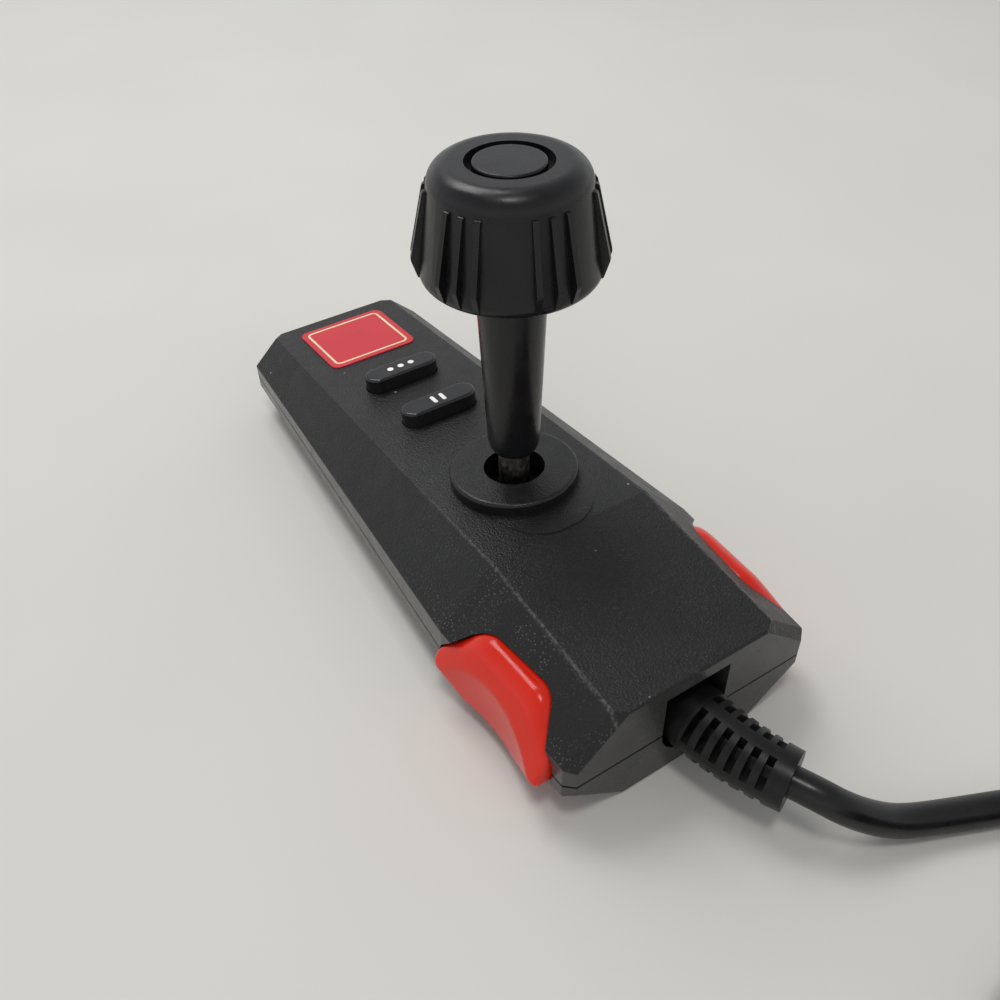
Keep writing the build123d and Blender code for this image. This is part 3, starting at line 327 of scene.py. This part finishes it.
def make_cord():
    """One smooth cord from the strain relief through the coil to the plug."""
    points = [point * MM for point in cord_route()]
    curve = bpy.data.curves.new("cord", "CURVE")
    curve.dimensions = "3D"
    # Each point's radius scales this bevel of 1 m down to the cord's own.
    curve.bevel_depth = 1.0
    curve.bevel_resolution = 6
    curve.resolution_u = 8
    curve.use_fill_caps = True
    spline = curve.splines.new("NURBS")
    spline.points.add(len(points) - 1)
    for spot, point in zip(spline.points, points):
        spot.co = (*point, 1.0)
        spot.radius = CORD_D / 2 * MM
    spline.order_u = 3
    spline.use_endpoint_u = True
    cord = add_object("cord", curve)
    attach(cord, "housing")
    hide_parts("cord_lead", "cord_coil", "cord_tail")
    return cord


# Materials

def new_material(name):
    """Empty node material with its Principled shader, and a helper that adds nodes."""
    material = bpy.data.materials.new(name)
    material.use_nodes = True
    tree = material.node_tree
    shader = tree.nodes["Principled BSDF"]

    def node(kind, inputs=None, **settings):
        """New node with its settings, and with its inputs set or linked."""
        made = tree.nodes.new(kind)
        for key, value in settings.items():
            setattr(made, key, value)
        for key, value in (inputs or {}).items():
            if isinstance(value, bpy.types.NodeSocket):
                tree.links.new(value, made.inputs[key])
            else:
                made.inputs[key].default_value = value
        return made

    return material, shader, node


def place_in_mm(node):
    """Object coordinates, in millimetres."""
    coordinates = node("ShaderNodeTexCoord")
    scaled = node("ShaderNodeVectorMath", {0: coordinates.outputs["Object"], 1: (1 / MM,) * 3},
                  operation="MULTIPLY")
    return scaled.outputs[0]


def calc(node, operation, *values, **settings):
    """Result of a math node, as a socket."""
    made = node("ShaderNodeMath", dict(enumerate(values)), operation=operation, **settings)
    return made.outputs[0]


def ranged(node, value, from_min, from_max, to_min=0.0, to_max=1.0):
    """Value carried from one range to another and held at its ends, as a socket."""
    return node("ShaderNodeMapRange", {
        "Value": value,
        "From Min": from_min,
        "From Max": from_max,
        "To Min": to_min,
        "To Max": to_max,
    }).outputs[0]


def blotches(node, place, size, low, high, detail=3.0):
    """Soft noise between two values, with features of the given size in millimetres."""
    noise = node("ShaderNodeTexNoise", {"Vector": place, "Scale": 1 / size, "Detail": detail})
    return ranged(node, noise.outputs["Fac"], 0.3, 0.7, low, high)


def put(socket, value):
    """Set a socket to a value or link it to another socket."""
    if isinstance(value, bpy.types.NodeSocket):
        socket.id_data.links.new(value, socket)
    elif isinstance(value, tuple) and len(value) == 3:
        socket.default_value = (*value, 1)
    else:
        socket.default_value = value


def mix_color(node, factor, first, second):
    """Mix of two colours by a factor, as a socket."""
    mix = node("ShaderNodeMix", data_type="RGBA")
    for socket in mix.inputs:
        if socket.type == "RGBA" and socket.name == "A":
            put(socket, first)
        elif socket.type == "RGBA" and socket.name == "B":
            put(socket, second)
    factor_socket = next(socket for socket in mix.inputs if socket.type == "VALUE")
    put(factor_socket, factor)
    return next(socket for socket in mix.outputs if socket.type == "RGBA")


def roughen(shader, node, height, depth):
    """Relief of the given depth in millimetres on the shader's surface."""
    bump = node("ShaderNodeBump", {"Height": height, "Strength": 1.0, "Distance": depth * MM})
    put(shader.inputs["Normal"], bump.outputs[0])


def moulded(name, color, roughness, grain=0.5, depth=0.01, spread=0.06, specular=0.5,
            paler_by=1.35):
    """Moulded plastic or rubber with a fine grain, uneven gloss and slight colour variation."""
    material, shader, node = new_material(name)
    place = place_in_mm(node)
    shade = blotches(node, place, 7.0, 0.0, 1.0)
    paler = tuple(min(1.0, channel * paler_by + 0.002) for channel in color)
    put(shader.inputs["Base Color"], mix_color(node, shade, color, paler))
    gloss = blotches(node, place, 2.5, roughness - spread, roughness + spread)
    put(shader.inputs["Roughness"], gloss)
    fine = node("ShaderNodeTexNoise", {"Vector": place, "Scale": 1 / grain, "Detail": 2.0})
    roughen(shader, node, fine.outputs["Fac"], depth)
    shader.inputs["Specular IOR Level"].default_value = specular
    return material


def leather(node, place, grained):
    """Height of the leather grain, only where the surface is grained."""
    cells = node("ShaderNodeTexVoronoi", {
        "Vector": place,
        "Scale": 1 / GRAIN_SIZE,
        "Smoothness": GRAIN_SMOOTHNESS,
    }, feature="SMOOTH_F1")
    scale = 1.6 / GRAIN_SIZE
    ripple = node("ShaderNodeTexNoise", {"Vector": place, "Scale": scale, "Detail": 2.0})
    hill = calc(node, "SUBTRACT", ripple.outputs["Fac"], cells.outputs["Distance"])
    return calc(node, "MULTIPLY", hill, grained)


def dust_specks(node, place):
    """Amount of dust: small round specks, far apart."""
    dust = node("ShaderNodeTexVoronoi", {"Vector": place, "Scale": 1 / DUST_SPACING})
    speck = ranged(node, dust.outputs["Distance"], DUST_CORE, DUST_EDGE, 1.0, 0.0)
    chance = node("ShaderNodeSeparateColor", {0: dust.outputs["Color"]}).outputs[0]
    return calc(node, "MULTIPLY", speck, calc(node, "GREATER_THAN", chance, DUST_RARITY))


def glints_and_edge_highlight(node, place, normal, grained):
    """Amount of painted glints on the chamfers and of a painted highlight along the deck's edges,
    most near the cable.
    """
    parts = node("ShaderNodeSeparateXYZ", {0: place})
    toward_cable = ranged(node, parts.outputs["Y"], GLINT_FROM_Y, GLINT_FULL_Y)
    # Painted glints: pale dots in small cells.
    glint_cells = node("ShaderNodeTexVoronoi", {"Vector": place, "Scale": 1 / GLINT_SPACING})
    level = ranged(node, glint_cells.outputs["Distance"], GLINT_CORE, GLINT_EDGE, 1.0, 0.0)
    sideways = calc(node, "ABSOLUTE", node("ShaderNodeSeparateXYZ", {0: normal}).outputs["X"])
    chamfer = ranged(node, sideways, CHAMFER_FROM_SIDE, CHAMFER_FULL_SIDE, GLINT_ON_DECK, 1.0)
    for share in (toward_cable, blotches(node, place, 7.0, -0.4, 1.5), chamfer):
        level = calc(node, "MULTIPLY", level, share)
    level = calc(node, "MULTIPLY", level, grained, use_clamp=True)
    # Painted highlight along the deck's edges.
    across = calc(node, "ABSOLUTE", parts.outputs["X"])
    beside = calc(node, "ABSOLUTE", calc(node, "SUBTRACT", across, DECK_EDGE_X))
    edge_highlight = ranged(node, beside, EDGE_HIGHLIGHT_FULL, EDGE_HIGHLIGHT_END, EDGE_HIGHLIGHT_MOST, 0.0)
    for share in (toward_cable, blotches(node, place, 0.6, -0.2, 1.0), grained):
        edge_highlight = calc(node, "MULTIPLY", edge_highlight, share)
    return calc(node, "MAXIMUM", level, edge_highlight)


def grained_shell():
    """Black housing plastic: grained deck and chamfers, smooth upright faces whose paler base is a
    painted sheen, dust specks, painted glints and a painted edge highlight, and painted shade
    along the join of the shells.
    """
    material, shader, node = new_material("shell")
    shader.inputs["Specular IOR Level"].default_value = 0.4
    place = place_in_mm(node)
    normal = node("ShaderNodeNewGeometry").outputs["True Normal"]
    upward = node("ShaderNodeSeparateXYZ", {0: normal}).outputs["Z"]
    grained = ranged(node, upward, GRAINED_FROM_UP, GRAINED_FULL_UP)
    roughen(shader, node, leather(node, place, grained), GRAIN_DEPTH)
    rough = ranged(node, grained, 0.0, 1.0, SMOOTH_ROUGHNESS, GRAINED_ROUGHNESS)
    uneven = blotches(node, place, 3.0, -0.05, 0.06)
    put(shader.inputs["Roughness"], calc(node, "ADD", rough, uneven))
    soft = blotches(node, place, 9.0, 0.0, 1.0)
    black = mix_color(node, soft, SHELL_DARK, SHELL_PALE)
    # Paler base on the upright faces: painted sheen.
    upright_sheen = mix_color(node, soft, UPRIGHT_SHEEN_DARK, UPRIGHT_SHEEN_PALE)
    base = mix_color(node, grained, upright_sheen, black)
    # Painted glints and painted edge highlight mixed into the base colour.
    glinted = mix_color(node, glints_and_edge_highlight(node, place, normal, grained), base, PAINTED_HIGHLIGHT)
    dusty = mix_color(node, dust_specks(node, place), glinted, DUST)
    # Painted shade: the base turns near-black within a band round the join of the shells.
    height = node("ShaderNodeSeparateXYZ", {0: place}).outputs["Z"]
    from_seam = calc(node, "SUBTRACT", height, SEAM_Z)
    seam_shade = calc(node, "COMPARE", from_seam, 0.0, SEAM_SHADE_HALF)
    put(shader.inputs["Base Color"], mix_color(node, seam_shade, dusty, SEAM_SHADE))
    return material


def metal(name, color, roughness):
    """Worn bare metal with fine scratches and dull patches."""
    material, shader, node = new_material(name)
    place = place_in_mm(node)
    dull = blotches(node, place, 1.5, 0.0, 1.0, detail=6.0)
    darker = tuple(channel * 0.45 for channel in color)
    put(shader.inputs["Base Color"], mix_color(node, dull, color, darker))
    shader.inputs["Metallic"].default_value = 1.0
    gloss = blotches(node, place, 1.0, roughness - 0.1, roughness + 0.15)
    put(shader.inputs["Roughness"], gloss)
    scratch = node("ShaderNodeTexNoise", {"Vector": place, "Scale": 6.0, "Detail": 4.0})
    roughen(shader, node, scratch.outputs["Fac"], 0.01)
    return material


def table_material():
    """Pale warm-grey seamless surface."""
    material, shader, node = new_material("table")
    cloud = blotches(node, place_in_mm(node), 90.0, 0.0, 1.0, detail=2.0)
    put(shader.inputs["Base Color"], mix_color(node, cloud, TABLE_PALE, TABLE_DARK))
    shader.inputs["Roughness"].default_value = 0.6
    shader.inputs["Specular IOR Level"].default_value = 0.25
    return material


def paint(material, *names):
    """Give a CAD node its finish."""
    for name in names:
        if name in NODES:
            mesh = NODES[name].data
            mesh.materials.clear()
            mesh.materials.append(material)


def paint_nodes(cord):
    """Finish of every node and of the cord."""
    paint(grained_shell(), "top_housing", "bottom_housing")
    collar = moulded("collar", SHELL_DARK, roughness=0.34, grain=0.4, depth=0.07, specular=0.4)
    paint(collar, "collar")
    keys = moulded("menu_button", BUTTON_BLACK, roughness=0.22, grain=0.6, depth=0.003)
    paint(keys, "select_button", "pause_button")
    red = moulded("side_button", SIDE_RED, roughness=0.2, grain=1.2, depth=0.002, specular=0.4,
                  paler_by=1.06)
    paint(red, "fire_button_right", "fire_button_left")
    label = moulded("label", LABEL_RED, roughness=0.3, grain=0.3, depth=0.001, spread=0.0,
                    paler_by=1.06)
    paint(label, "label_plate")
    knob = moulded("knob", KNOB_BLACK, roughness=0.3, grain=0.4, depth=0.012, specular=0.35)
    paint(knob, "knob", "knob_cap")
    paint(metal("shaft", SHAFT_GREY, roughness=0.35), "stick_core", "stick_pin")
    paint(metal("screw", SCREW_GREY, roughness=0.3), "housing_screws", "cradle_screws",
          "board_screws", "clamp_screws", "stick_nut")
    paint(metal("contact", CONTACT_GOLD, roughness=0.25), "plug_contacts")
    paint(moulded("inner_plastic", INNER_PALE, roughness=0.45), "board_connector", "cord_clamp",
          "lead_wires")
    paint(moulded("dark_plastic", INNER_DARK, roughness=0.45), "stick_cradle", "pivot_ring",
          "stick_actuator")
    paint(moulded("board", BOARD_BROWN, roughness=0.4, grain=0.3, depth=0.003), "circuit_board")
    paint(moulded("switch", INNER_DARK, roughness=0.4), "direction_switches", "menu_switches",
          "fire_switches")
    rubber = moulded("cord", CORD_BLACK, roughness=0.3, grain=0.9, depth=0.006, specular=0.4)
    paint(rubber, "cord_inner")
    cord.data.materials.append(rubber)
    relief = moulded("relief", RELIEF_BLACK, roughness=0.36, grain=0.5, depth=0.01, specular=0.3)
    paint(relief, "strain_relief", "coil_tie")
    plug = moulded("plug", PLUG_BLACK, roughness=0.42, grain=0.5, depth=0.015)
    paint(plug, "plug_hood", "plug_face")


# Stick sleeve

def lathe(name, profile, steps):
    """Closed profile of radius and height turned round the stick's axis, with smooth sides."""
    vertices = []
    faces = []
    count = len(profile)
    for step in range(steps):
        turn = 2 * math.pi * step / steps
        cosine, sine = math.cos(turn), math.sin(turn)
        vertices += [(r * MM * cosine, r * MM * sine, z * MM) for r, z in profile]
        beside = (step + 1) % steps * count
        for i in range(count):
            j = (i + 1) % count
            faces.append([step * count + i, beside + i, beside + j, step * count + j])
    mesh = bpy.data.meshes.new(name)
    mesh.from_pydata(vertices, [], faces)
    mesh.polygons.foreach_set("use_smooth", [True] * len(faces))
    return add_object(name, mesh)


def make_sleeve():
    """Tapered sleeve whose lower end is rounded in above the collar."""
    outside = [(SLEEVE_END_R, SLEEVE_END_Z)]
    for step in range(1, SLEEVE_END_STEPS + 1):
        turn = math.pi / 2 * step / SLEEVE_END_STEPS
        radius = SLEEVE_END_R + (SLEEVE_LOW_R - SLEEVE_END_R) * math.sin(turn)
        outside.append((radius, SLEEVE_END_Z + SLEEVE_ROUND * (1 - math.cos(turn))))
    outside += [(SLEEVE_HIGH_R, SLEEVE_HIGH_Z), (SLEEVE_HIGH_R, SLEEVE_TOP_Z)]
    bore = [(SLEEVE_BORE_R, SLEEVE_TOP_Z), (SLEEVE_BORE_R, SLEEVE_END_Z)]
    sleeve = lathe("sleeve", outside + bore, SLEEVE_TURN_STEPS)
    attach(sleeve, "stick")
    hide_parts("stick_sleeve")
    plastic = moulded("sleeve", KNOB_BLACK, roughness=0.26, grain=0.8, depth=0.004, specular=0.35)
    sleeve.data.materials.append(plastic)


# Side buttons

def rounded_outline(corners, radii):
    """Closed outline of even short steps round the corners, each rounded with its own radius."""
    outline = []
    count = len(corners)
    for i in range(count):
        corner = Vector(corners[i])
        back = (Vector(corners[i - 1]) - corner).normalized()
        ahead = (Vector(corners[(i + 1) % count]) - corner).normalized()
        half = back.angle(ahead) / 2
        reach = radii[i] / math.tan(half)
        centre = corner + (back + ahead).normalized() * radii[i] / math.sin(half)
        start = corner + back * reach - centre
        end = corner + ahead * reach - centre
        for step in range(FIRE_ARC_STEPS + 1):
            spoke = start.lerp(end, step / FIRE_ARC_STEPS).normalized() * radii[i]
            outline.append(centre + spoke)
    evened = []
    for i, point in enumerate(outline):
        beyond = outline[(i + 1) % len(outline)]
        steps = max(1, round((beyond - point).length / FIRE_STEP))
        evened += [point.lerp(beyond, step / steps) for step in range(steps)]
    return evened


def soft_least(first, second, softness):
    """The lesser of two numbers, with the change from one to the other rounded."""
    blend = max(softness - abs(first - second), 0) / softness
    return min(first, second) - blend * blend * softness / 4


def fire_height(y, z, depth):
    """How far out a side button's face lies at y and z, where depth is the way to its outline."""
    ridge = FIRE_RIDGE_X - FIRE_NARROWING * abs(y - FIRE_WIDEST_Y)
    facet = ridge - FIRE_FACET_SLOPE * (z - SEAM_Z)
    dish = FIRE_DISH_X + (y - FIRE_DISH_Y) ** 2 / (2 * FIRE_DISH_R)
    under = ridge + FIRE_FACET_SLOPE * (z - SEAM_Z + FIRE_UNDER)
    face = soft_least(soft_least(facet, dish, FIRE_RIDGE_SOFT), under, FIRE_RIDGE_SOFT)
    share = min(max((z - FIRE_RIM_LOW) / (FIRE_RIM_HIGH - FIRE_RIM_LOW), 0), 1)
    rim = FIRE_RIM_LEAST + (FIRE_RIM_MOST - FIRE_RIM_LEAST) * share
    if depth >= rim:
        return face
    return face - FIRE_RIM_DROP * rim * (1 - math.sqrt(1 - (1 - depth / rim) ** 2))


def cap_point(side, spot, depth):
    """Point of the cap's outer face, in metres."""
    out = fire_height(spot.x, spot.y, depth)
    return (side * out * MM, spot.x * MM, spot.y * MM)


def make_fire_button(node, side):
    """Cap with a slanted upper face, a hollow for the finger and rounded rims."""
    outline = rounded_outline(FIRE_OUTLINE, FIRE_CORNERS)
    tree = kdtree.KDTree(len(outline))
    for i, point in enumerate(outline):
        tree.insert((point.x, point.y, 0), i)
    tree.balance()
    count = len(outline)
    vertices = [(side * FIRE_BACK_X * MM, point.x * MM, point.y * MM) for point in outline]
    for ring in range(FIRE_RINGS):
        inwards = (ring / FIRE_RINGS) ** FIRE_CROWDING
        for point in outline:
            spot = point.lerp(FIRE_MIDDLE, inwards)
            depth = tree.find((spot.x, spot.y, 0))[2] if ring else 0.0
            vertices.append(cap_point(side, spot, depth))
    vertices.append(cap_point(side, FIRE_MIDDLE, FIRE_RIM_MOST))
    faces = [list(range(count))]
    for ring in range(FIRE_RINGS):
        here = ring * count
        for i in range(count):
            j = (i + 1) % count
            faces.append([here + i, here + count + i, here + count + j, here + j])
    last = FIRE_RINGS * count
    faces += [[last + i, len(vertices) - 1, last + (i + 1) % count] for i in range(count)]
    # On the right the mirrored order would turn the faces inwards.
    if side > 0:
        faces = [face[::-1] for face in faces]
    mesh = bpy.data.meshes.new(node + "_cap")
    mesh.from_pydata(vertices, [], faces)
    mesh.polygons.foreach_set("use_smooth", [i > 0 for i in range(len(faces))])
    cap = add_object(node + "_cap", mesh)
    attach(cap, "fire_right" if side > 0 else "fire_left")
    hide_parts(node)
    cap.data.materials.append(NODES[node].data.materials[0])


# Marks on the keys and the label

def deck_frame(y, lift):
    """Matrix that lays a flat mark on the deck's plane at y, raised by lift."""
    normal = Vector((0, -DECK_SLOPE, 1)).normalized()
    along = Vector((0, 1, DECK_SLOPE)).normalized()
    origin = Vector((0, y, DECK_Z + DECK_SLOPE * y)) + normal * lift
    return Matrix((
        (1, along.x, normal.x, origin.x),
        (0, along.y, normal.y, origin.y),
        (0, along.z, normal.z, origin.z),
        (0, 0, 0, 1),
    ))


def flat_mark(name, outlines, y, lift, body, material):
    """Thin printed mark made of closed outlines in the deck's plane."""
    vertices = []
    faces = []
    for outline in outlines:
        first = len(vertices)
        count = len(outline)
        vertices += [(x, v, 0.0) for x, v in outline]
        vertices += [(x, v, MARK_THICKNESS) for x, v in outline]
        faces.append([first + i for i in reversed(range(count))])
        faces.append([first + count + i for i in range(count)])
        for i in range(count):
            j = (i + 1) % count
            faces.append([first + i, first + j, first + count + j, first + count + i])
    mesh = bpy.data.meshes.new(name)
    mesh.from_pydata(vertices, [], faces)
    mesh.transform(deck_frame(y, lift))
    mesh.materials.append(material)
    mark = add_object(name, mesh)
    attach(mark, body)
    return mark


def rounded_bar(centre_x, width, height, radius=None):
    """Outline of a bar with round corners, or round ends where no radius is given."""
    radius = radius or min(width, height) / 2
    points = []
    for corner_x, corner_y, start in ((1, 1, 0), (-1, 1, 90), (-1, -1, 180), (1, -1, 270)):
        for step in range(MARK_ARC_STEPS + 1):
            angle = math.radians(start + 90 * step / MARK_ARC_STEPS)
            x = centre_x + corner_x * (width / 2 - radius) + radius * math.cos(angle)
            y = corner_y * (height / 2 - radius) + radius * math.sin(angle)
            points.append((x, y))
    return points


def keyline(width, height, radius, line):
    """Closed ring of four-sided strips round a rounded rectangle centred on the origin."""
    outer = rounded_bar(0, width, height, radius)
    inner = rounded_bar(0, width - 2 * line, height - 2 * line, radius - line)
    strips = []
    for i, corner in enumerate(outer):
        j = (i + 1) % len(outer)
        strips.append([corner, outer[j], inner[j], inner[i]])
    return strips


def make_marks():
    """Plain marks on the two menu buttons and a keyline round the label."""
    ink = moulded("ink", INK, roughness=0.5, grain=0.2, depth=0.002)
    cream = moulded("cream", LABEL_CREAM, roughness=0.4, grain=0.2, depth=0.002)
    bars = [rounded_bar(place, BAR_WIDTH, BAR_LENGTH) for place in BAR_PLACES]
    flat_mark("pause_mark", bars, PAUSE_Y, BUTTON_TOP, "pause", ink)
    dots = [rounded_bar(place, DOT_SIZE, DOT_SIZE) for place in DOT_PLACES]
    flat_mark("select_mark", dots, SELECT_Y, BUTTON_TOP, "select", ink)
    width = LABEL_WIDTH - 2 * KEYLINE_INSET
    length = LABEL_LENGTH - 2 * KEYLINE_INSET
    ring = keyline(width, length, LABEL_RADIUS - KEYLINE_INSET / 2, KEYLINE_WIDTH)
    flat_mark("label_keyline", ring, LABEL_Y, LABEL_TOP, "housing", cream)


# Surroundings

def make_table():
    """Floor under everything."""
    signs = ((-1, -1), (1, -1), (1, 1), (-1, 1))
    corners = [(x * TABLE_HALF, y * TABLE_HALF, 0) for x, y in signs]
    mesh = bpy.data.meshes.new("table")
    mesh.from_pydata(corners, [], [(0, 1, 2, 3)])
    mesh.materials.append(table_material())
    table = add_object("table", mesh)


def area_light(name, place, size, power, color=(1, 1, 1)):
    """Square soft light aimed at the object."""
    data = bpy.data.lights.new(name, "AREA")
    data.size = size
    data.energy = power
    data.color = color
    light = add_object(name, data)
    light.location = place
    way = Vector(LIGHT_TARGET) - Vector(place)
    light.rotation_euler = way.to_track_quat("-Z", "Y").to_euler()


def make_light():
    """Soft sky, a small lamp above and a wide one behind the label end."""
    world = bpy.data.worlds.new("world")
    bpy.context.scene.world = world
    world.use_nodes = True
    background = world.node_tree.nodes["Background"]
    background.inputs["Color"].default_value = SKY_COLOR
    nodes = world.node_tree.nodes
    links = world.node_tree.links
    direction = nodes.new("ShaderNodeTexCoord")
    parts = nodes.new("ShaderNodeSeparateXYZ")
    strength = nodes.new("ShaderNodeMapRange")
    links.new(direction.outputs["Generated"], parts.inputs[0])
    links.new(parts.outputs["Z"], strength.inputs["Value"])
    strength.inputs["From Min"].default_value = HORIZON_HEIGHT
    strength.inputs["From Max"].default_value = ZENITH_HEIGHT
    strength.inputs["To Min"].default_value = HORIZON
    strength.inputs["To Max"].default_value = ZENITH
    links.new(strength.outputs[0], background.inputs["Strength"])
    area_light("overhead", OVERHEAD_AT, OVERHEAD_SIZE, OVERHEAD_POWER, OVERHEAD_COLOR)
    area_light("behind", BEHIND_AT, BEHIND_SIZE, BEHIND_POWER)


make_camera()
cord = make_cord()
paint_nodes(cord)
make_sleeve()
make_fire_button("fire_button_right", 1)
make_fire_button("fire_button_left", -1)
make_marks()
make_table()
make_light()
bpy.context.scene.view_settings.view_transform = "Standard"

bpy.context.view_layer.update()
